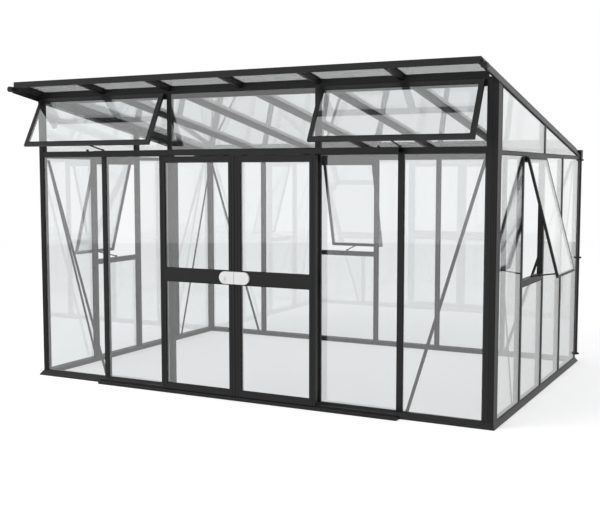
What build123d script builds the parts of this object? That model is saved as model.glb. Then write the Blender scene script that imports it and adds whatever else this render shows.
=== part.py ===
from build123d import *

import os
from math import atan, cos, degrees, sin, radians

# A free-standing aluminium and glass greenhouse with a single-pitch roof, in millimetres.
# Work frame: X along the front from the left corner, Y back from the front face, Z up.
# The finished solids are moved so that the origin is the middle of the base.

# Plan
bay = 720.0
corner_inset = 40.0
front_bays = 6
side_bays = 4
length = front_bays * bay + 2 * corner_inset
depth = side_bays * bay + 2 * corner_inset

# Heights
sill_height = 45.0
front_height = 2672.0
back_height = 2161.0
transom_drop = 551.0
transom_height = 48.0
head_height = 62.0
head_leg = 48.0
back_head_height = 86.0
side_rail_drop = 74.0
side_rail_height = 24.0
transom_top = front_height - transom_drop
transom_bottom = transom_top - transom_height
head_bottom = front_height - head_height
back_head_bottom = back_height - back_head_height
side_rail_top = back_height - side_rail_drop
side_rail_bottom = side_rail_top - side_rail_height
roof_slope = (front_height - back_height) / depth
roof_angle = degrees(atan(roof_slope))

# Grooves along the face of the front head beam
beam_grooves = 2
beam_groove = 5.0
beam_groove_depth = 4.0

# Glazing bar, seen from outside: cap, neck beside the pane, box behind it
cap_width = 44.0
cap_thickness = 4.0
neck_width = 10.0
box_width = 32.0
wall_thickness = 50.0
pane = 4.0
pane_gap = 1.0

# Corner posts
left_post_face = 50.0
left_post_side = 50.0
right_post_face = 88.0
right_post_side = 100.0
flute_count = 3
flute_width = 5.0
flute_depth = 3.0
flute_pitch = 18.0
flute_margin = 5.0

# Sill
front_lip = 45.0
side_lip = 20.0
sill_lip_thickness = 5.0

# Roof edges
overhang = 352.0
back_overhang = 20.0
fascia_height = 50.0
fascia_thickness = 25.0
verge_height = 90.0
verge_tilt = 35.0
verge_foot = 12.0
verge_proud = 5.0
verge_skirt_wall = 8.0
verge_lap = 10.0
verge_grooves = 3
verge_groove = 3.0
verge_groove_depth = 2.0
verge_plug_diameter = 50.0
verge_plug_reach = 24.0
verge_plug_length = 50.0
verge_plug_overhang = 20.0
gable_pane_least = 0.5

# Gutter and downpipe
gutter_height = 88.0
gutter_width = 66.0
gutter_wall = 3.0
gutter_drop = 8.0
gutter_past_wall = 16.0
pipe_diameter = 48.0
pipe_wall = 2.0
pipe_end = 70.0
pipe_past_wall = 14.0
clip_band = 5.0
clip_height = 18.0
clip_tab = 24.0
clip_ear = 12.0
clip_ear_thickness = 10.0
clip_from_end = 12.0

# Sliding doors
door_gap = 5.0
door_edge_overlap = 35.0
door_end_room = 20.0
door_thickness = 40.0
door_drop = 55.0
door_floor_gap = 10.0
door_pane_recess = 8.0
stile_width = 54.0
stile_groove = 4.0
stile_groove_depth = 3.0
top_rail_height = 50.0
bottom_rail_height = 50.0
mid_rail_bottom = 990.0
mid_rail_height = 113.0
handle_length = 288.0
handle_height = 104.0
handle_thickness = 16.0
knob_diameter = 34.0
knob_length = 14.0
knob_offset = 100.0

# Door tracks
track_reach = 112.0
track_end = 5.0
track_plate = 6.0
track_cover_gap = 7.0
threshold_height = 28.0
threshold_chamfer = 6.0
guide_width = 6.0
guide_engagement = 9.0
guide_side_clearance = 6.0
guide_top_clearance = 9.0
ledge_drop = 39.0
ledge_thickness = 4.0
ledge_clearance = 5.0
hanger_thickness = 4.0
hanger_width = 60.0
hanger_inset = 90.0
wheel_radius = 13.0
wheel_width = 11.0
axle_radius = 4.0
running_gap = 0.3

# Vents over the fixed bays and windows in the walls
hinge_radius = 6.0
hinge_plate = 3.0
bar_joint = 0.3
vent_hinge_drop = 5.0
vent_lap = 18.0
vent_angle = 28.0
vent_left_gap = 3.0
vent_right_gap = 12.0
vent_bar = 38.0
vent_rim = 33.0
vent_bar_thickness = 24.0
window_hinge_drop = 8.0
window_angle = 15.0
window_side_gap = 45.0
window_bar = 30.0
window_rim = 12.0
window_bar_thickness = 20.0
window_head_lap = 45.0
window_rail_top = 1045.0
window_rail_height = 50.0

# Stays and braces
stay_width = 12.0
stay_thickness = 5.0
stay_foot = 16.0
spare_peg_distance = 180.0
brace_width = 28.0
brace_thickness = 4.0
brace_drop = 30.0
brace_foot_gap = 18.0

front_centres = [corner_inset + bay * i for i in range(front_bays + 1)]
side_centres = [corner_inset + bay * i for i in range(side_bays + 1)]
side_window_centre = sum(side_centres[1:3]) / 2
back_window_centre = sum(front_centres[2:4]) / 2
window_width = bay - 2 * window_side_gap
vent_hinge_height = head_bottom - vent_hinge_drop
vent_length = vent_hinge_height - transom_top + vent_lap
window_hinge_height = side_rail_bottom - window_hinge_drop
window_head_bottom = window_hinge_height - window_head_lap
window_length = window_hinge_height - window_rail_top
door_centre = length / 2
door_left_edge = front_centres[2] - door_edge_overlap
door_travel = bay - door_end_room
door_face = track_reach - track_cover_gap
door_bottom = threshold_height + door_floor_gap
door_top = transom_top - door_drop
guide_height = door_bottom + guide_engagement
ledge_top = transom_top - ledge_drop
track_left = door_left_edge - door_travel - track_end
bar_below = pane + cap_thickness - wall_thickness
roof_front = -overhang + fascia_thickness
roof_back = depth + back_overhang


def roof_z(y):
    """Height of the plane that the roof glass lies on."""
    return front_height - roof_slope * y


def block(x0, x1, y0, y1, z0, z1):
    """A box between two corners."""
    size = (x1 - x0, y1 - y0, z1 - z0)
    middle = ((x0 + x1) / 2, (y0 + y1) / 2, (z0 + z1) / 2)
    return Pos(*middle) * Box(*size)


def prism_up(points, z0, z1):
    """A plan outline raised from z0 to z1."""
    face = make_face(Polyline(*points, close=True))
    return Pos(0, 0, z0) * extrude(face, z1 - z0, dir=(0, 0, 1))


def prism_along_x(points, x0, x1):
    """An outline in Y and Z carried from x0 to x1."""
    outline = Polyline(*[(x0, y, z) for y, z in points], close=True)
    return extrude(make_face(outline), x1 - x0, dir=(1, 0, 0))


def to_wall(shape, wall):
    """Carry a shape modelled on the front wall, from its left corner, to another wall."""
    if wall == "back":
        return mirror(shape, about=Plane(origin=(0, depth / 2, 0), z_dir=(0, 1, 0)))
    if wall in ("left", "right"):
        shape = mirror(shape, about=Plane(origin=(0, 0, 0), z_dir=(1, -1, 0)))
    if wall == "right":
        return mirror(shape, about=Plane(origin=(length / 2, 0, 0), z_dir=(1, 0, 0)))
    return shape


def bar_outline(centre):
    """Plan outline of an upright glazing bar on the front wall."""
    neck_end = cap_thickness + pane
    half = [
        (cap_width / 2, 0), (cap_width / 2, cap_thickness),
        (neck_width / 2, cap_thickness), (neck_width / 2, neck_end),
        (box_width / 2, neck_end), (box_width / 2, wall_thickness),
    ]
    right = [(centre + x, y) for x, y in half]
    left = [(centre - x, y) for x, y in reversed(half)]
    return right + left


def upright(centre, z0, z1):
    return prism_up(bar_outline(centre), z0, z1)


def pane_between(x0, x1, z0, z1):
    """A sheet of glass on the front wall, between two edges of metal."""
    front = cap_thickness
    return block(x0 + pane_gap, x1 - pane_gap, front, front + pane, z0, z1)


def sill(run, wall):
    """A base rail with a sloping skirt and a drip lip, mitred at both ends."""
    lip, next_lip = (front_lip, side_lip) if wall in ("front", "back") else (side_lip, front_lip)
    section = [
        (-lip, 0), (-lip, sill_lip_thickness), (0, sill_height),
        (wall_thickness, sill_height), (wall_thickness, 0),
    ]
    plan = [
        (-next_lip, -lip), (run + next_lip, -lip), (run, 0),
        (run - wall_thickness, wall_thickness), (wall_thickness, wall_thickness), (0, 0),
    ]
    rail = prism_along_x(section, -next_lip, run + next_lip)
    return to_wall(rail & prism_up(plan, 0, sill_height), wall)


def flutes(z0, z1):
    """Upright grooves in a face that looks towards -Y, counted from the outer corner at x = 0."""
    starts = [flute_margin + flute_pitch * i for i in range(flute_count)]
    return [block(x, x + flute_width, -1, flute_depth, z0 - 1, z1 + 1) for x in starts]


def front_post(face, side):
    """A corner post of the left front corner, cut to the roof slope at the top."""
    top = roof_z(0)
    post = block(0, face, 0, side, sill_height, top) - flutes(sill_height, top)
    return post - above_roof(bar_below) - verge_room()


def above_roof(rise):
    """Everything above a plane at a distance from the roof plane, measured square to it."""
    reach = overhang + back_overhang
    y0, y1 = -2 * reach, depth + 2 * reach
    lift = rise / cos(radians(roof_angle))
    section = [
        (y0, roof_z(y0) + lift), (y1, roof_z(y1) + lift),
        (y1, front_height * 2), (y0, front_height * 2),
    ]
    return prism_along_x(section, -length, 2 * length)


def back_post():
    """The corner post of the left back corner."""
    post = block(0, left_post_face, depth - left_post_side, depth, sill_height, back_height)
    post -= [to_wall(g, "back") for g in flutes(sill_height, back_height)]
    return post - above_roof(bar_below) - verge_room()


def mirrored_x(shape):
    return mirror(shape, about=Plane(origin=(length / 2, 0, 0), z_dir=(1, 0, 0)))


def plain_head_beam():
    """The front beam under the roof, with a lower leg behind the glass."""
    leg_front = cap_thickness + pane
    leg_bottom = head_bottom - head_leg
    section = [
        (0, head_bottom), (leg_front, head_bottom), (leg_front, leg_bottom),
        (wall_thickness, leg_bottom), (wall_thickness, roof_z(wall_thickness)), (0, roof_z(0)),
    ]
    return prism_along_x(section, left_post_face, length - right_post_face)


def head_beam():
    """The front beam with the grooves of its face."""
    pitch = head_height / (beam_grooves + 1)
    middles = [head_bottom + pitch * (i + 1) for i in range(beam_grooves)]
    half = beam_groove / 2
    return plain_head_beam() - [block(0, length, -1, beam_groove_depth, z - half, z + half) for z in middles]


def back_beam():
    inner = depth - wall_thickness
    section = [
        (inner, back_head_bottom), (depth, back_head_bottom),
        (depth, roof_z(depth)), (inner, roof_z(inner)),
    ]
    return prism_along_x(section, left_post_face, length - left_post_face)


def roof_run(outline, y0, y1):
    """Carry an outline of X and rise along the slope, between two square ends."""
    lean = cos(radians(roof_angle))
    start = Polyline(*[(x, y0, roof_z(y0) + rise / lean) for x, rise in outline], close=True)
    run = (0, y1 - y0, roof_z(y1) - roof_z(y0))
    size = ((y1 - y0) ** 2 + (roof_z(y1) - roof_z(y0)) ** 2) ** 0.5
    return extrude(make_face(start), size, dir=run)


def rafter(centre):
    top = pane + cap_thickness
    half = [
        (cap_width / 2, top), (cap_width / 2, pane), (neck_width / 2, pane),
        (neck_width / 2, 0), (box_width / 2, 0), (box_width / 2, bar_below),
    ]
    outline = [(centre + x, z) for x, z in half]
    outline += [(centre - x, z) for x, z in reversed(half)]
    bar = roof_run(outline, roof_front, roof_back)
    return bar - plain_head_beam() - back_beam() - gutter_room()


def gutter_room():
    return block(-length, 2 * length, depth, depth + gutter_width * 2, 0, back_height - gutter_drop)


def verge_flutes(low, high):
    """Points of the grooves along the tilted face of the verge, between its lower and upper edge."""
    reach = ((high[0] - low[0]) ** 2 + (high[1] - low[1]) ** 2) ** 0.5
    along = ((high[0] - low[0]) / reach, (high[1] - low[1]) / reach)
    corners = [(0, 0), (0, verge_groove_depth), (verge_groove, verge_groove_depth), (verge_groove, 0)]
    points = []
    for i in range(verge_grooves):
        start = reach * (i + 1) / (verge_grooves + 1) - verge_groove / 2
        for step, sink in corners:
            across = start + step
            points.append((low[0] + along[0] * across + along[1] * sink,
                           low[1] + along[1] * across - along[0] * sink))
    return points


def verge_skirt():
    """Outer and inner edge of the tilted skirt of the left verge, as X and rise."""
    foot = pane + cap_thickness - verge_height
    low, high = (-verge_proud, foot + verge_foot), (verge_tilt, pane + cap_thickness)
    outer = [(-verge_proud, foot), low] + verge_flutes(low, high) + [high]
    lean = (verge_tilt + verge_proud) / (verge_height - verge_foot)
    knee = -verge_proud + verge_skirt_wall
    shoulder = knee + lean * (bar_below - foot - verge_foot)
    inner = [(shoulder, bar_below), (knee, foot + verge_foot), (knee, foot)]
    return outer, inner


def verge():
    """The edge rafter of the left gable, with a tilted outer face and a round plug in its front end."""
    top = pane + cap_thickness
    outer, inner = verge_skirt()
    outline = [
        (corner_inset + cap_width / 2, top), (corner_inset + cap_width / 2, pane),
        (corner_inset + neck_width / 2, pane), (corner_inset + neck_width / 2, 0),
        (corner_inset + box_width / 2, 0), (corner_inset + box_width / 2, bar_below),
    ]
    bar = roof_run(outline + inner + outer, roof_front, depth)
    radius = verge_plug_diameter / 2
    y = -overhang - verge_plug_reach + verge_plug_length / 2
    z = roof_z(-overhang) + pane + cap_thickness - verge_height + radius
    plug = Pos(radius - verge_plug_overhang, y, z) * (Rot(X=90) * Cylinder(radius, verge_plug_length))
    return bar + plug - plain_head_beam() - back_beam()


def verge_room():
    """The space that the left verge takes from the wall members under it."""
    outer, inner = verge_skirt()
    far = -length
    outline = [(far, inner[-1][1])] + inner[::-1] + [(inner[0][0], -far), (far, -far)]
    return roof_run(outline, 2 * roof_front, 2 * depth)


def fascia():
    """The front edge of the roof, with the glass let into its back."""
    front = -overhang
    top = roof_z(front) + pane + cap_thickness / 2
    bottom = top - fascia_height
    section = [
        (front, bottom), (front + fascia_thickness, bottom),
        (front + fascia_thickness, top), (front, top),
    ]
    return prism_along_x(section, verge_tilt, length - verge_tilt)


def roof_panes():
    panes = []
    for x0, x1 in zip(front_centres[:-1], front_centres[1:]):
        edge = neck_width / 2 + pane_gap
        outline = [(x0 + edge, 0), (x1 - edge, 0), (x1 - edge, pane), (x0 + edge, pane)]
        panes.append(roof_run(outline, roof_front + pane_gap, roof_back))
    return panes


def front_panes():
    """The four fixed panes beside the doorway."""
    neck = neck_width / 2
    c = front_centres
    edges = [
        (left_post_face, c[1] - neck), (c[1] + neck, c[2] - neck),
        (c[4] + neck, c[5] - neck), (c[5] + neck, length - right_post_face),
    ]
    return [pane_between(x0, x1, sill_height, transom_bottom) for x0, x1 in edges]


def clerestory_pane():
    neck = neck_width / 2
    return pane_between(front_centres[2] + neck, front_centres[4] - neck, transom_top, head_bottom)


def side_run(wall):
    """Where a side wall starts behind its front post and ends before its back post."""
    front_side = left_post_side if wall == "left" else right_post_side
    return front_side, depth - left_post_side


def side_panes(wall):
    neck = neck_width / 2
    start, end = side_run(wall)
    edges = [start] + [c + side * neck for c in side_centres[1:-1] for side in (-1, 1)] + [end]
    panes = []
    for x0, x1 in zip(edges[::2], edges[1::2]):
        has_window = x0 < side_window_centre < x1
        top = window_rail_top - window_rail_height if has_window else side_rail_bottom
        panes.append(to_wall(pane_between(x0, x1, sill_height, top), wall))
    return panes


def back_panes():
    neck = neck_width / 2
    rail_bottom = window_rail_top - window_rail_height
    panes = []
    edges = [left_post_face] + [c + side * neck for c in front_centres[1:-1] for side in (-1, 1)]
    edges.append(length - left_post_face)
    for x0, x1 in zip(edges[::2], edges[1::2]):
        top = rail_bottom if x0 < back_window_centre < x1 else back_head_bottom
        panes.append(to_wall(pane_between(x0, x1, sill_height, top), "back"))
    return panes


def side_rail(wall):
    """The rail over the panes of a side wall, placed at the left wall."""
    start, end = side_run(wall)
    rail = block(start, end, 0, wall_thickness, side_rail_bottom, side_rail_top)
    return to_wall(rail, "left") - verge_room()


def gable_panes(wall):
    """Two sloping-topped panes over the side rail, modelled on the left wall."""
    neck = neck_width / 2
    middle = side_centres[2]
    z0 = side_rail_top
    drop = (verge_height - pane - cap_thickness - verge_lap) / cos(radians(roof_angle))
    x0, x1 = cap_thickness, cap_thickness + pane
    start, end = side_run(wall)
    panes = []
    for y0, y1 in ((start, middle - neck), (middle + neck, end)):
        y0 += pane_gap
        y_end = min(y1 - pane_gap, (front_height - drop - z0 - gable_pane_least) / roof_slope)
        outline = [(y0, z0), (y_end, z0), (y_end, roof_z(y_end) - drop), (y0, roof_z(y0) - drop)]
        panes.append(prism_along_x(outline, x0, x1))
    if wall == "right":
        panes = [mirrored_x(p) for p in panes]
    return panes


def hung_frame(x0, x1, hinge_z, drop, bar, rim, thick, angle):
    """Four bars of a top-hung light on the front wall, rebated for the glass and swung outward."""
    top = -hinge_radius - running_gap
    z0 = -drop
    rebate = block(x0 + rim, x1 - rim, -thick, -thick + pane, z0 + rim, top - rim)
    bars = [
        block(x0, x0 + bar, -thick, 0, z0, top),
        block(x1 - bar, x1, -thick, 0, z0, top),
        block(x0 + bar + bar_joint, x1 - bar - bar_joint, -thick, 0, top - bar, top),
        block(x0 + bar + bar_joint, x1 - bar - bar_joint, -thick, 0, z0, z0 + bar),
    ]
    return [swing(b - rebate, hinge_z, angle) for b in bars]


def hung_pane(x0, x1, hinge_z, drop, bar, rim, thick, angle):
    """The sheet of a top-hung light, in the rebate of its outer face."""
    inset = rim + pane_gap
    top = -hinge_radius - running_gap - inset
    return swing(block(x0 + inset, x1 - inset, -thick, -thick + pane, -drop + inset, top), hinge_z, angle)


def swing(shape, hinge_z, angle):
    """Turn a closed light out about its hinge rod."""
    return Pos(0, -hinge_radius, hinge_z) * (Rot(X=-angle) * shape)


def hinge(x0, x1, hinge_z):
    """A hinge rod the width of the light, on a plate against the wall."""
    rod = Pos((x0 + x1) / 2, -hinge_radius, hinge_z) * (Rot(Y=90) * Cylinder(hinge_radius, x1 - x0))
    return rod + block(x0, x1, -hinge_plate, 0, hinge_z - hinge_radius, hinge_z + hinge_radius)


def peg(x, rail_top):
    """A peg on a rail, for the foot of a stay."""
    half = stay_foot / 2
    return block(x - half, x + half, 0, stay_foot, rail_top, rail_top + stay_foot)


def stay(x, rail_top, hinge_z, drop, bar, rim, thick, angle):
    """A flat arm from a foot on the rail below to the inner face of the light's bottom bar."""
    a = radians(angle)
    tip_z = -drop + bar / 2
    tip = (-hinge_radius + tip_z * sin(a), hinge_z + tip_z * cos(a))
    foot = (stay_foot / 2, rail_top + stay_foot / 2)
    run = ((tip[0] - foot[0]) ** 2 + (tip[1] - foot[1]) ** 2) ** 0.5
    ny, nz = -(tip[1] - foot[1]) / run * stay_width / 2, (tip[0] - foot[0]) / run * stay_width / 2
    section = [
        (foot[0] + ny, foot[1] + nz), (tip[0] + ny, tip[1] + nz),
        (tip[0] - ny, tip[1] - nz), (foot[0] - ny, foot[1] - nz),
    ]
    half = stay_thickness / 2
    arm = prism_along_x(section, x - half, x + half)
    bar_inner = swing(block(x - bay, x + bay, -thick, 0, -drop, 0), hinge_z, angle)
    under = block(x - bay, x + bay, -bay, bay, 0, rail_top)
    return arm + peg(x, rail_top) - bar_inner - under


def vent_spans():
    left = (left_post_face + vent_left_gap, front_centres[2] - door_edge_overlap)
    right = (front_centres[4] + door_edge_overlap, length - right_post_face - vent_right_gap)
    return left, right


vent_size = (vent_hinge_height, vent_length, vent_bar, vent_rim, vent_bar_thickness, vent_angle)
window_size = (
    window_hinge_height, window_length, window_bar, window_rim, window_bar_thickness, window_angle,
)


def vent_frames():
    bars = []
    for x0, x1 in vent_spans():
        bars += hung_frame(x0, x1, *vent_size)
    return bars


def window_places():
    """The wall of each window and the left and right edge of its light."""
    half = window_width / 2
    centres = {"left": side_window_centre, "right": side_window_centre, "back": back_window_centre}
    return [(wall, c - half, c + half) for wall, c in centres.items()]


def window_frames():
    bars = []
    for wall, x0, x1 in window_places():
        bars += [to_wall(b, wall) for b in hung_frame(x0, x1, *window_size)]
    return bars


def window_rails():
    """The fixed rails over and under each window."""
    rails = []
    half = bay / 2 - neck_width / 2
    for wall, x0, x1 in window_places():
        centre = (x0 + x1) / 2
        top = back_head_bottom if wall == "back" else side_rail_bottom
        for z0, z1 in ((window_rail_top - window_rail_height, window_rail_top), (window_head_bottom, top)):
            rail = block(centre - half, centre + half, 0, wall_thickness, z0, z1)
            rail -= upright(centre - bay / 2, z0 - 1, z1 + 1)
            rail -= upright(centre + bay / 2, z0 - 1, z1 + 1)
            rails.append(to_wall(rail, wall))
    return rails


def door_edges(side):
    """Left and right edge of a closed leaf."""
    if side == "left":
        return door_left_edge, door_centre - door_gap / 2
    return door_centre + door_gap / 2, length - door_left_edge


def door_frame(side):
    """Two grooved stiles and three rails of one leaf; the foot is slotted over the guide."""
    x0, x1 = door_edges(side)
    y0, y1 = -door_face, -door_face + door_thickness
    rail0, rail1 = x0 + stile_width + bar_joint, x1 - stile_width - bar_joint
    guide_y = (y0 + y1) / 2
    slot_half = guide_width / 2 + guide_side_clearance
    slot_top = guide_height + guide_top_clearance
    slot = block(x0 - 1, x1 + 1, guide_y - slot_half, guide_y + slot_half, 0, slot_top)
    mid_top = mid_rail_bottom + mid_rail_height
    stiles = []
    for x in (x0, x1 - stile_width):
        middle = x + stile_width / 2
        groove = block(middle - stile_groove / 2, middle + stile_groove / 2, y0 - 1, y0 + stile_groove_depth,
                       door_bottom - 1, door_top + 1)
        stiles.append(block(x, x + stile_width, y0, y1, door_bottom, door_top) - slot - groove)
    return stiles + [
        block(rail0, rail1, y0, y1, door_top - top_rail_height, door_top),
        block(rail0, rail1, y0, y1, mid_rail_bottom, mid_top),
        block(rail0, rail1, y0, y1, door_bottom, door_bottom + bottom_rail_height) - slot,
    ]


def door_panes(side):
    x0, x1 = door_edges(side)
    edge = stile_width + bar_joint
    y0 = -door_face + door_pane_recess
    z_low = door_bottom + bottom_rail_height
    z_mid = mid_rail_bottom + mid_rail_height
    return [
        block(x0 + edge, x1 - edge, y0, y0 + pane, z_low, mid_rail_bottom),
        block(x0 + edge, x1 - edge, y0, y0 + pane, z_mid, door_top - top_rail_height),
    ]


def door_handle(side):
    """Half of the rounded plate across the meeting stiles, with a turn knob on the left leaf."""
    z = mid_rail_bottom + mid_rail_height / 2
    outline = SlotOverall(handle_length, handle_height)
    plate = Pos(door_centre, -door_face, z) * (Rot(X=90) * extrude(outline, handle_thickness))
    x0, x1 = door_edges(side)
    plate &= block(x0, x1, -door_face - handle_thickness, -door_face, z - handle_height, z + handle_height)
    if side == "left":
        stem = Rot(X=90) * Cylinder(knob_diameter / 2, knob_length)
        y = -door_face - handle_thickness - knob_length / 2
        plate += Pos(door_centre - knob_offset, y, z) * stem
    return plate


def door_rollers(side):
    """Two hangers on top of a leaf, each with a wheel over the ledge of the head track."""
    x0, x1 = door_edges(side)
    hangers = []
    y_out = -door_face + door_thickness / 2 + hanger_thickness / 2
    ledge_edge = y_out + ledge_clearance
    wheel_z = ledge_top + running_gap + wheel_radius
    for x in (x0 + hanger_inset, x1 - hanger_inset):
        plate = block(x - hanger_width / 2, x + hanger_width / 2, y_out - hanger_thickness, y_out,
                      door_top, wheel_z + axle_radius * 2)
        axle_length = ledge_clearance + wheel_width
        axle = Rot(X=90) * Cylinder(axle_radius, axle_length)
        wheel = Rot(X=90) * Cylinder(wheel_radius, wheel_width)
        axle = Pos(x, y_out + axle_length / 2, wheel_z) * axle
        wheel = Pos(x, ledge_edge + wheel_width / 2, wheel_z) * wheel
        hangers.append(plate + axle + wheel)
    return hangers


def head_track():
    """The top track: a cover in front of the transom, with an inner ledge that carries the wheels."""
    y_out = -door_face + door_thickness / 2 + hanger_thickness / 2
    ledge_edge = y_out + ledge_clearance
    inner_top = transom_top - track_plate
    section = [
        (0, transom_bottom), (0, transom_top), (-track_reach, transom_top), (-track_reach, transom_bottom),
        (-track_reach + track_plate, transom_bottom), (-track_reach + track_plate, inner_top),
        (-track_plate, inner_top), (-track_plate, ledge_top),
        (ledge_edge, ledge_top), (ledge_edge, ledge_top - ledge_thickness),
        (-track_plate, ledge_top - ledge_thickness), (-track_plate, transom_bottom),
    ]
    return prism_along_x(section, track_left, length - track_left)


def threshold_track():
    """The bottom track in front of the sill, with the rib that guides the leaves."""
    guide_y = -door_face + door_thickness / 2
    half = guide_width / 2
    section = [
        (-front_lip, 0), (-track_reach, 0), (-track_reach, threshold_height - threshold_chamfer),
        (-track_reach + threshold_chamfer, threshold_height),
        (guide_y - half, threshold_height), (guide_y - half, guide_height),
        (guide_y + half, guide_height), (guide_y + half, threshold_height),
        (-front_lip, threshold_height),
    ]
    return prism_along_x(section, track_left, length - track_left)


def gutter():
    """An open box gutter along the back eaves."""
    top = back_height - gutter_drop
    y0, y1 = depth, depth + gutter_width
    w = gutter_wall
    section = [
        (y0, top), (y0, top - gutter_height), (y1, top - gutter_height), (y1, top),
        (y1 - w, top), (y1 - w, top - gutter_height + w), (y0 + w, top - gutter_height + w), (y0 + w, top),
    ]
    x0, x1 = -gutter_past_wall, length + gutter_past_wall
    run = prism_along_x(section, x0, x1)
    end = block(x0, x0 + w, y0, y1, top - gutter_height, top)
    return run + end + mirrored_x(end)


def pipe_clip(x, y, z):
    """A band round the pipe with an ear on each side and a tab to the wall."""
    radius = pipe_diameter / 2
    reach = radius + clip_band + clip_ear
    low, high = z - clip_height / 2, z + clip_height / 2
    ears = block(x - reach, x + reach, y - clip_ear_thickness / 2, y + clip_ear_thickness / 2, low, high)
    tab = block(x - clip_tab / 2, x + clip_tab / 2, depth, y, low, high)
    band = Pos(x, y, z) * Cylinder(radius + clip_band, clip_height)
    return band + ears + tab - Pos(x, y, z) * Cylinder(radius - pipe_wall / 2, clip_height + 1)


def downpipe():
    """The round pipe that takes the gutter down the back right corner, with its clips."""
    radius = pipe_diameter / 2
    x, y = length + pipe_past_wall - radius, depth + gutter_width / 2
    top = back_height - gutter_drop - gutter_height
    tube = Cylinder(radius, top - pipe_end) - Cylinder(radius - pipe_wall, top - pipe_end)
    pipe = Pos(x, y, (top + pipe_end) / 2) * tube
    for z in (pipe_end + clip_from_end, (top + pipe_end) / 2, top - clip_from_end):
        pipe += pipe_clip(x, y, z)
    return pipe


def brace(x0, x1, rail_bottom, wall):
    """A flat bar from the top of a corner to the foot of the next post, inside the wall."""
    y0 = wall_thickness
    half = brace_width / 2
    top = rail_bottom - brace_drop
    outline = [(x0 - half, top), (x0 + half, top), (x1 + half, sill_height), (x1 - half, sill_height)]
    face = make_face(Polyline(*[(x, y0, z) for x, z in outline], close=True))
    return to_wall(extrude(face, brace_thickness, dir=(0, 1, 0)), wall)


def braces():
    """Two braces a wall, from the corner posts to the feet of the next posts."""
    half = brace_width / 2
    foot = corner_inset + bay - box_width / 2 - brace_foot_gap - half
    left_start, left_end = side_run("left")
    right_start, right_end = side_run("right")
    walls = {
        "front": (length, left_post_face, length - right_post_face, transom_bottom),
        "back": (length, left_post_face, length - left_post_face, back_head_bottom),
        "left": (depth, left_start, left_end, side_rail_bottom),
        "right": (depth, right_start, right_end, side_rail_bottom),
    }
    bars = []
    for wall, (run, start, end, rail_bottom) in walls.items():
        bars.append(brace(start + half, foot, rail_bottom, wall))
        bars.append(brace(end - half, run - foot, rail_bottom, wall))
    return bars


def opening_hinges():
    rods = [hinge(x0, x1, vent_hinge_height) for x0, x1 in vent_spans()]
    rods += [to_wall(hinge(x0, x1, window_hinge_height), wall) for wall, x0, x1 in window_places()]
    return rods


def opening_stays():
    """A stay and a spare peg for each vent, and a stay for each window, on the rail below it."""
    middles = [(x0 + x1) / 2 for x0, x1 in vent_spans()]
    arms = [stay(x, transom_top, *vent_size) for x in middles]
    arms += [peg(x - spare_peg_distance, transom_top) for x in middles]
    for wall, x0, x1 in window_places():
        arms.append(to_wall(stay((x0 + x1) / 2, window_rail_top, *window_size), wall))
    return arms


def all_nodes():
    side_posts = [upright(c, sill_height, side_rail_bottom) for c in side_centres[1:-1]]
    back_posts = [upright(c, sill_height, back_head_bottom) for c in front_centres[1:-1]]
    front_posts = [upright(front_centres[i], sill_height, transom_bottom) for i in (1, 2, 4, 5)]
    high_posts = [upright(front_centres[i], transom_top, head_bottom) - plain_head_beam() for i in (2, 4)]
    transom = block(left_post_face, length - right_post_face, 0, wall_thickness, transom_bottom, transom_top)
    gable_bar = to_wall(upright(side_centres[2], side_rail_top, front_height), "left")
    gable_bar = gable_bar - above_roof(bar_below) - verge_room()
    left_verge = verge()
    return {
        "front_sill": [sill(length, "front")],
        "back_sill": [sill(length, "back")],
        "left_sill": [sill(depth, "left")],
        "right_sill": [sill(depth, "right")],
        "threshold_track": [threshold_track()],
        "head_track": [head_track()],
        "front_corner_posts": [
            front_post(left_post_face, left_post_side),
            mirrored_x(front_post(right_post_face, right_post_side)),
        ],
        "back_corner_posts": [back_post(), mirrored_x(back_post())],
        "front_posts": front_posts,
        "clerestory_posts": high_posts,
        "front_transom": [transom],
        "front_head_beam": [head_beam()],
        "back_head_beam": [back_beam()],
        "side_rails": [side_rail("left"), mirrored_x(side_rail("right"))],
        "left_wall_posts": [to_wall(p, "left") for p in side_posts],
        "right_wall_posts": [to_wall(p, "right") for p in side_posts],
        "back_wall_posts": [to_wall(p, "back") for p in back_posts],
        "gable_posts": [gable_bar, mirrored_x(gable_bar)],
        "roof_rafters": [rafter(c) for c in front_centres[1:-1]],
        "verge_rails": [left_verge, mirrored_x(left_verge)],
        "roof_fascia": [fascia()],
        "gutter": [gutter()],
        "downpipe": [downpipe()],
        "roof_glass": roof_panes(),
        "front_glass": front_panes(),
        "clerestory_glass": [clerestory_pane()],
        "left_wall_glass": side_panes("left"),
        "right_wall_glass": side_panes("right"),
        "back_wall_glass": back_panes(),
        "gable_glass": gable_panes("left") + gable_panes("right"),
        "vent_frames": vent_frames(),
        "vent_glass": [hung_pane(x0, x1, *vent_size) for x0, x1 in vent_spans()],
        "window_frames": window_frames(),
        "window_glass": [to_wall(hung_pane(x0, x1, *window_size), w) for w, x0, x1 in window_places()],
        "window_rails": window_rails(),
        "opening_hinges": opening_hinges(),
        "opening_stays": opening_stays(),
        "wall_braces": braces(),
        "left_door_frame": door_frame("left"),
        "left_door_glass": door_panes("left"),
        "left_door_handle": [door_handle("left")],
        "left_door_rollers": door_rollers("left"),
        "right_door_frame": door_frame("right"),
        "right_door_glass": door_panes("right"),
        "right_door_handle": [door_handle("right")],
        "right_door_rollers": door_rollers("right"),
    }


def solids_of(shapes):
    """Every solid in a list of shapes, booleans included."""
    found = []
    for shape in shapes:
        found += list(shape.solids())
    return found


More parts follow.
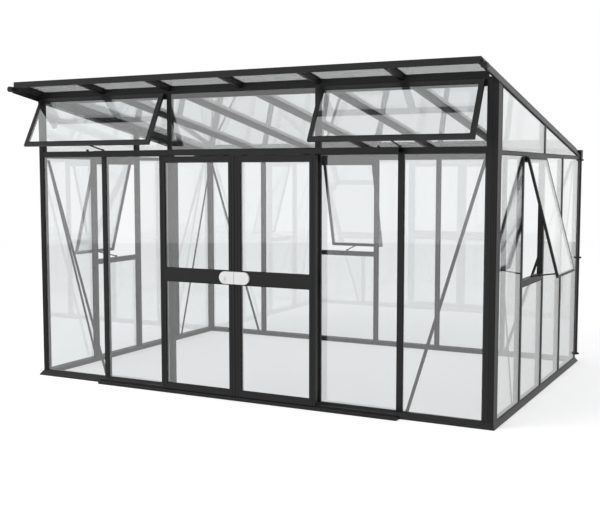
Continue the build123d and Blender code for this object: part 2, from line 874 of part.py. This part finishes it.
nodes = {name: Compound(children=solids_of(shapes)) for name, shapes in all_nodes().items()}
box = Compound(children=[s for c in nodes.values() for s in c.solids()]).bounding_box()
to_origin = Pos(-(box.min.X + box.max.X) / 2, -(box.min.Y + box.max.Y) / 2, -box.min.Z)
os.makedirs("parts", exist_ok=True)
for name, node in nodes.items():
    export_step(to_origin * Compound(children=node.solids()), os.path.join("parts", name + ".step"))
print("size", box.size, "moved by", to_origin.position)
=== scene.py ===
"""The looks of a glass greenhouse: painted aluminium, clear glass, seals, screws and soft studio light."""

import math

import bpy
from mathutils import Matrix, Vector


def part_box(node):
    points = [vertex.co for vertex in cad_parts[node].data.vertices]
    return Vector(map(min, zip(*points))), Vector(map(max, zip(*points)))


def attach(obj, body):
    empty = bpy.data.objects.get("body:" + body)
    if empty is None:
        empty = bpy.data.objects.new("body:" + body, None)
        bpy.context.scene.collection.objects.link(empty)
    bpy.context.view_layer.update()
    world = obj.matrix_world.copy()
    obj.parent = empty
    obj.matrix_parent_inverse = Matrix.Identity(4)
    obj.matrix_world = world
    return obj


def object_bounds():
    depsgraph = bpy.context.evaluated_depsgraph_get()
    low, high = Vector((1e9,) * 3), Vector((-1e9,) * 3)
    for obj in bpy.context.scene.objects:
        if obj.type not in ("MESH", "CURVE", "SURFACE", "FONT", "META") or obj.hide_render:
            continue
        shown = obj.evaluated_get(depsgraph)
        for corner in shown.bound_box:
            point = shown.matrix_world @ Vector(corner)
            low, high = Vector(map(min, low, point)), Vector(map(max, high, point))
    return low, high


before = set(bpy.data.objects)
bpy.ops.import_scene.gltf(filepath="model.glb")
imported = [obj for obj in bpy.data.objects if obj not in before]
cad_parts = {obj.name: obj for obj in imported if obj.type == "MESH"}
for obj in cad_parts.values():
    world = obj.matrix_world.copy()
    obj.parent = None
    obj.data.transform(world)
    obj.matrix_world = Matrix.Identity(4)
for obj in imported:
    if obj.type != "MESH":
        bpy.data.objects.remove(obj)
cad_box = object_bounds()

# Camera, from the outer corner of the front left post, in metres and degrees
PICTURE_WIDTH = 600
FOCAL_PIXELS = 970.7
SENSOR_WIDTH = 36.0
CAMERA_FROM_CORNER = Vector((6.394, -7.043, 1.925))
CAMERA_TURN = 27.28
CAMERA_TILT = -4.96
CLIP_END = 200

# Studio, in metres and watts
WHITE = (1, 1, 1, 1)
WORLD_FOR_LIGHT = 0.75
WORLD_SEEN = 1.0
FLOOR_RADIUS = 20.0
FLOOR_SIDES = 96
FLOOR_IN_REFLECTION = 0.70
FLOOR_ALBEDO = 0.8
FLOOR_SEEN = 0.38
LAMP_PLACE = (-3, -6, 9)
LAMP_TARGET = (0, 0, 1)
LAMP_SIZE = 6
LAMP_POWER = 350

# Finishes: dark colour, light colour, roughness and gloss
COAT = ((0.010, 0.010, 0.010, 1), (0.016, 0.016, 0.016, 1), 0.42, 0.32)
RUBBER = ((0.005, 0.005, 0.005, 1), (0.008, 0.008, 0.008, 1), 0.7, 0.32)
PALE = ((0.84, 0.84, 0.84, 1), (0.88, 0.88, 0.88, 1), 0.4, 0.5)
CLOUD_SCALE = 3.0
CLOUD_DETAIL = 3.0
ROUGHNESS_SPREAD = 0.05
PEEL_SCALE = 900.0
PEEL_DETAIL = 2.0
PEEL_STRENGTH = 0.15
PEEL_DEPTH = 0.0004

# Glass
FACING_BLEND = 0.5
GLASS_FACING_REFLECTION = 0.127
GLASS_STEEPNESS = 3.5
GLASS_TINT = (0.960, 0.968, 0.971, 1)

# Seals of the panes, in metres: how far they stand out and how far they reach over the glass
SEAL_PROUD = 0.0012
SEAL_EDGE = 0.0005
SEAL_WIDTH = 0.006
SEAL_WIDTH_AT_BAR = 0.021
POST_REACH = 0.002
SAME_PLACE_DIGITS = 5
SAME_PLANE = 0.0001
LEVEL_SLOPE = 0.05
STRAIGHT_TURN = 0.05
SEAL_CORNERS = 4

# Button-head screws, as radius and height of the turned outline with its socket
SCREW_SIDES = 16
SCREW_OUTLINE = (
    (0.0016, 0.0009), (0.0017, 0.0024), (0.0028, 0.0023), (0.0037, 0.0015), (0.0040, 0.0))
BRACE_END = 0.025
BAR_END = 0.05
RAFTER_SCREWS = 6
DOOR_SCREW_HEIGHTS = (0.063, 1.048, 2.041)
DOOR_SCREW_SPREAD = 0.008


def corner():
    """The outer corner of the front left post on the ground."""
    return Vector((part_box("front_corner_posts")[0].x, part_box("front_transom")[0].y, 0))


def new_material(name):
    """A material with an empty node tree and its output node."""
    material = bpy.data.materials.new(name)
    material.use_nodes = True
    tree = material.node_tree
    tree.nodes.clear()
    return material, tree, tree.nodes.new("ShaderNodeOutputMaterial")


def add_node(tree, kind, inputs=None, **settings):
    """A node with its settings, input values and incoming links."""
    node = tree.nodes.new(kind)
    for key, value in settings.items():
        setattr(node, key, value)
    for key, value in (inputs or {}).items():
        if isinstance(value, bpy.types.NodeSocket):
            tree.links.new(value, node.inputs[key])
        else:
            node.inputs[key].default_value = value
    return node


def object_coordinates(tree):
    """The place on the object, for patterns that stay with it."""
    return add_node(tree, "ShaderNodeTexCoord").outputs["Object"]


def colour_between(tree, factor, dark, light):
    """A colour ramp from a dark to a light colour."""
    ramp = add_node(tree, "ShaderNodeValToRGB", {"Fac": factor})
    ramp.color_ramp.elements[0].color = dark
    ramp.color_ramp.elements[1].color = light
    return ramp.outputs["Color"]


def powder_coat(name, dark, light, roughness, gloss):
    """Fine-textured paint on aluminium, with faint clouding and an orange-peel surface."""
    material, tree, out = new_material(name)
    place = object_coordinates(tree)
    cloud = add_node(tree, "ShaderNodeTexNoise", {
        "Vector": place, "Scale": CLOUD_SCALE, "Detail": CLOUD_DETAIL})
    peel = add_node(tree, "ShaderNodeTexNoise", {
        "Vector": place, "Scale": PEEL_SCALE, "Detail": PEEL_DETAIL})
    colour = colour_between(tree, cloud.outputs["Fac"], dark, light)
    rough = add_node(tree, "ShaderNodeMapRange", {
        "Value": cloud.outputs["Fac"],
        "To Min": roughness - ROUGHNESS_SPREAD, "To Max": roughness + ROUGHNESS_SPREAD})
    bump = add_node(tree, "ShaderNodeBump", {
        "Height": peel.outputs["Fac"], "Strength": PEEL_STRENGTH, "Distance": PEEL_DEPTH})
    shader = add_node(tree, "ShaderNodeBsdfPrincipled", {
        "Base Color": colour, "Roughness": rough.outputs["Result"], "Normal": bump.outputs["Normal"],
        "Specular IOR Level": gloss})
    tree.links.new(shader.outputs["BSDF"], out.inputs["Surface"])
    return material


def clear_glass():
    """A pane that reflects more at a grazing angle and lets the rest through."""
    material, tree, out = new_material("clear_glass")
    facing = add_node(tree, "ShaderNodeLayerWeight", {"Blend": FACING_BLEND}).outputs["Facing"]
    steep = add_node(tree, "ShaderNodeMath", {0: facing, 1: GLASS_STEEPNESS}, operation="POWER")
    mirror = add_node(tree, "ShaderNodeMapRange", {
        "Value": steep.outputs["Value"], "To Min": GLASS_FACING_REFLECTION, "To Max": 1.0})
    through = add_node(tree, "ShaderNodeBsdfTransparent", {"Color": GLASS_TINT})
    gloss = add_node(tree, "ShaderNodeBsdfGlossy", {"Color": WHITE, "Roughness": 0.0})
    mix = add_node(tree, "ShaderNodeMixShader", {
        "Fac": mirror.outputs["Result"], 1: through.outputs["BSDF"], 2: gloss.outputs["BSDF"]})
    tree.links.new(mix.outputs["Shader"], out.inputs["Surface"])
    return material


def floor_paint():
    """White where the camera sees it, with the shadow kept, and a pale grey in reflections."""
    material, tree, out = new_material("studio_floor")
    path = add_node(tree, "ShaderNodeLightPath")
    grey = (FLOOR_ALBEDO, FLOOR_ALBEDO, FLOOR_ALBEDO, 1)
    lit = add_node(tree, "ShaderNodeBsdfDiffuse", {"Color": grey})
    level = add_node(tree, "ShaderNodeMath", {
        0: path.outputs["Is Camera Ray"], 1: FLOOR_SEEN}, operation="MULTIPLY")
    glow = add_node(tree, "ShaderNodeEmission", {
        "Color": WHITE, "Strength": level.outputs["Value"]})
    seen = add_node(tree, "ShaderNodeAddShader", {0: lit.outputs["BSDF"], 1: glow.outputs["Emission"]})
    mirrored = add_node(tree, "ShaderNodeEmission", {
        "Color": WHITE, "Strength": FLOOR_IN_REFLECTION})
    mix = add_node(tree, "ShaderNodeMixShader", {
        "Fac": path.outputs["Is Glossy Ray"], 1: seen.outputs["Shader"], 2: mirrored.outputs["Emission"]})
    tree.links.new(mix.outputs["Shader"], out.inputs["Surface"])
    return material


def studio_floor():
    """A wide round floor."""
    bpy.ops.mesh.primitive_circle_add(vertices=FLOOR_SIDES, radius=FLOOR_RADIUS, fill_type="NGON")
    floor = bpy.context.object
    floor.name = "studio_floor"
    floor.data.materials.append(floor_paint())


def studio_world():
    """White to the camera and in reflections, and a plain level of light on the object."""
    world = bpy.data.worlds.new("studio")
    bpy.context.scene.world = world
    world.use_nodes = True
    tree = world.node_tree
    tree.nodes.clear()
    out = add_node(tree, "ShaderNodeOutputWorld")
    path = add_node(tree, "ShaderNodeLightPath")
    seen = add_node(tree, "ShaderNodeMath", {
        0: path.outputs["Is Camera Ray"], 1: path.outputs["Is Glossy Ray"]}, operation="MAXIMUM")
    seen = add_node(tree, "ShaderNodeMath", {
        0: seen.outputs["Value"], 1: path.outputs["Is Transmission Ray"]}, operation="MAXIMUM")
    strength = add_node(tree, "ShaderNodeMapRange", {
        "Value": seen.outputs["Value"], "To Min": WORLD_FOR_LIGHT, "To Max": WORLD_SEEN})
    sky = add_node(tree, "ShaderNodeBackground", {
        "Color": WHITE, "Strength": strength.outputs["Result"]})
    tree.links.new(sky.outputs["Background"], out.inputs["Surface"])


def soft_lamp(name, place, target, size, power):
    """A square soft box that looks at a point and doesn't show in reflections."""
    data = bpy.data.lights.new(name, "AREA")
    data.size = size
    data.energy = power
    lamp = bpy.data.objects.new(name, data)
    bpy.context.scene.collection.objects.link(lamp)
    lamp.location = place
    lamp.rotation_euler = (Vector(target) - Vector(place)).to_track_quat("-Z", "Y").to_euler()
    lamp.visible_glossy = False


def photo_camera():
    """The camera of the photo, placed from the corner of the front left post."""
    data = bpy.data.cameras.new("photo_camera")
    data.sensor_width = SENSOR_WIDTH
    data.lens = FOCAL_PIXELS * SENSOR_WIDTH / PICTURE_WIDTH
    data.clip_end = CLIP_END
    camera = bpy.data.objects.new("photo_camera", data)
    bpy.context.scene.collection.objects.link(camera)
    camera.location = corner() + CAMERA_FROM_CORNER
    camera.rotation_euler = (math.radians(90 + CAMERA_TILT), 0, math.radians(CAMERA_TURN))
    bpy.context.scene.camera = camera


def solids(name):
    """The points of each separate solid of a CAD piece, with the normal of its largest face."""
    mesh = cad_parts[name].data
    points = []
    group = []
    index = {}

    def root(i):
        """The first point of the solid that a point belongs to."""
        while group[i] != i:
            i = group[i]
        return i

    faces = []
    for polygon in mesh.polygons:
        corners = []
        for vertex in polygon.vertices:
            place = mesh.vertices[vertex].co
            key = tuple(round(c, SAME_PLACE_DIGITS) for c in place)
            if key not in index:
                index[key] = len(points)
                group.append(len(points))
                points.append(place.copy())
            corners.append(index[key])
        for corner_index in corners[1:]:
            group[root(corner_index)] = root(corners[0])
        faces.append((polygon.area, polygon.normal.copy(), corners[0]))
    places = {}
    sides = {}
    for i, point in enumerate(points):
        places.setdefault(root(i), []).append(point)
    for area, normal, first in faces:
        sides.setdefault(root(first), []).append((area, normal))
    return [(places[i], max(sides[i], key=lambda side: side[0])[1]) for i in places]


def outward(places, normal):
    """The normal turned away from the middle of the greenhouse."""
    middle = sum(places, Vector()) / len(places)
    centre = (Vector(cad_box[0]) + Vector(cad_box[1])) / 2
    return normal if (middle - centre).dot(normal) > 0 else -normal


def face_outline(places, normal):
    """The corners of the face on one side of a flat solid, in order round the face."""
    reach = max(p.dot(normal) for p in places)
    face = [p for p in places if reach - p.dot(normal) < SAME_PLANE]
    middle = sum(face, Vector()) / len(face)
    across = (face[0] - middle).normalized()
    along = normal.cross(across)
    face.sort(key=lambda p: math.atan2((p - middle).dot(along), (p - middle).dot(across)))
    corners = []
    for i, point in enumerate(face):
        before = (point - face[i - 1]).normalized()
        after = (face[(i + 1) % len(face)] - point).normalized()
        if before.cross(after).length > STRAIGHT_TURN:
            corners.append(point)
    return corners


def inset(corners, normal, widths):
    """The corners moved inwards, where each edge moves by its own width."""
    moved = []
    for i, point in enumerate(corners):
        before = (point - corners[i - 1]).normalized()
        after = (corners[(i + 1) % len(corners)] - point).normalized()
        turn = normal.dot(before.cross(after))
        moved.append(point - before * (widths[i] / turn) + after * (widths[i - 1] / turn))
    return moved


def seal_widths(name, corners, normal):
    """How far the seal of each edge reaches: further beside a bar, whose cap covers the pane's edge."""
    low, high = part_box(name)
    axis = 1 if abs(normal.x) > abs(normal.y) else 0
    widths = []
    for i, start in enumerate(corners):
        end = corners[(i + 1) % len(corners)]
        place = (start[axis] + end[axis]) / 2
        level = abs((end - start).normalized().z) < LEVEL_SLOPE
        at_post = min(place - low[axis], high[axis] - place) < POST_REACH
        widths.append(SEAL_WIDTH if level or at_post else SEAL_WIDTH_AT_BAR)
    return widths


def add_piece(name, vertices, faces, material, body):
    """A new mesh that moves with a body."""
    mesh = bpy.data.meshes.new(name)
    mesh.from_pydata(vertices, [], faces)
    mesh.materials.append(material)
    piece = bpy.data.objects.new(name, mesh)
    bpy.context.scene.collection.objects.link(piece)
    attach(piece, body)


def seals(name, panes, body, framed):
    """Flat rubber strips round the outer face of each pane of some CAD pieces."""
    vertices = []
    faces = []
    for pane in panes:
        for places, side in solids(pane):
            normal = outward(places, side)
            corners = face_outline(places, normal)
            count = len(corners)
            widths = [SEAL_WIDTH] * count if framed else seal_widths(pane, corners, normal)
            rim = inset(corners, normal, [SEAL_EDGE] * count)
            lip = inset(corners, normal, widths)
            top = normal * SEAL_PROUD
            first = len(vertices)
            vertices += rim + lip + [p + top for p in lip] + [p + top for p in rim]
            for i in range(count):
                j = (i + 1) % count
                for ring in range(SEAL_CORNERS):
                    a = first + ring * count
                    b = first + (ring + 1) % SEAL_CORNERS * count
                    faces.append((a + i, b + i, b + j, a + j))
    add_piece(name, vertices, faces, rubber, body)


def screws(name, places, body):
    """Button-head screws at points on a surface, each with the direction it faces."""
    vertices = []
    faces = []
    for place, normal in places:
        turn = normal.to_track_quat("Z", "Y")
        first = len(vertices)
        for radius, height in SCREW_OUTLINE:
            for i in range(SCREW_SIDES):
                angle = 2 * math.pi * i / SCREW_SIDES
                point = Vector((radius * math.cos(angle), radius * math.sin(angle), height))
                vertices.append(place + turn @ point)
        for ring in range(len(SCREW_OUTLINE) - 1):
            a = first + ring * SCREW_SIDES
            for i in range(SCREW_SIDES):
                j = (i + 1) % SCREW_SIDES
                faces.append((a + i, a + SCREW_SIDES + i, a + SCREW_SIDES + j, a + j))
        last = first + (len(SCREW_OUTLINE) - 1) * SCREW_SIDES
        faces.append(tuple(range(first, first + SCREW_SIDES)))
        faces.append(tuple(reversed(range(last, last + SCREW_SIDES))))
    add_piece(name, vertices, faces, coat, body)


def brace_screw_places():
    """Both ends of each wall brace, on the face towards the inside."""
    found = []
    for places, side in solids("wall_braces"):
        inward = -outward(places, side)
        face = face_outline(places, inward)
        face.sort(key=lambda p: p.z)
        foot = (face[0] + face[1]) / 2
        head = (face[-1] + face[-2]) / 2
        step = (head - foot).normalized() * BRACE_END
        found += [(foot + step, inward), (head - step, inward)]
    return found


def rafter_screw_places():
    """Points along the middle of the cap of each rafter."""
    found = []
    for places, side in solids("roof_rafters"):
        up = side if side.z > 0 else -side
        face = face_outline(places, up)
        face.sort(key=lambda p: p.y)
        low = (face[0] + face[1]) / 2
        high = (face[-1] + face[-2]) / 2
        run = high - low
        step = run.normalized() * BAR_END
        for i in range(RAFTER_SCREWS):
            found.append((low + step + (run - 2 * step) * (i / (RAFTER_SCREWS - 1)), up))
    return found


def door_screw_places(name, side):
    """Pairs of screws in the outer edge of a leaf, at the height of its rails."""
    low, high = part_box(name)
    x = low.x if side < 0 else high.x
    y = (low.y + high.y) / 2
    normal = Vector((side, 0, 0))
    return [(Vector((x, y + spread, z)), normal)
            for z in DOOR_SCREW_HEIGHTS for spread in (-DOOR_SCREW_SPREAD, DOOR_SCREW_SPREAD)]


def dress(names, material):
    """Give CAD pieces a material."""
    for name in names:
        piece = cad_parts[name]
        piece.data.materials.clear()
        piece.data.materials.append(material)


bpy.context.scene.view_settings.view_transform = "Standard"
photo_camera()
studio_world()
studio_floor()
soft_lamp("key", LAMP_PLACE, LAMP_TARGET, LAMP_SIZE, LAMP_POWER)

coat = powder_coat("powder_coat", *COAT)
rubber = powder_coat("seal_rubber", *RUBBER)
glass = clear_glass()
pale = powder_coat("pale_handle", *PALE)
all_names = set(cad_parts)
glass_names = {n for n in all_names if n.endswith("_glass")}
handle_names = {n for n in all_names if n.endswith("_handle")}
dress(glass_names, glass)
dress(handle_names, pale)
dress(all_names - glass_names - handle_names, coat)

opening_kinds = ("door", "vent", "window")
fixed_panes = sorted(n for n in glass_names if not any(kind in n for kind in opening_kinds))
seals("fixed_pane_seals", fixed_panes, "frame", framed=False)
seals("light_pane_seals", ["vent_glass", "window_glass"], "frame", framed=True)
seals("left_door_seals", ["left_door_glass"], "left_door", framed=True)
seals("right_door_seals", ["right_door_glass"], "right_door", framed=True)
screws("brace_screws", brace_screw_places(), "frame")
screws("rafter_screws", rafter_screw_places(), "frame")
screws("left_door_screws", door_screw_places("left_door_frame", -1), "left_door")
screws("right_door_screws", door_screw_places("right_door_frame", 1), "right_door")
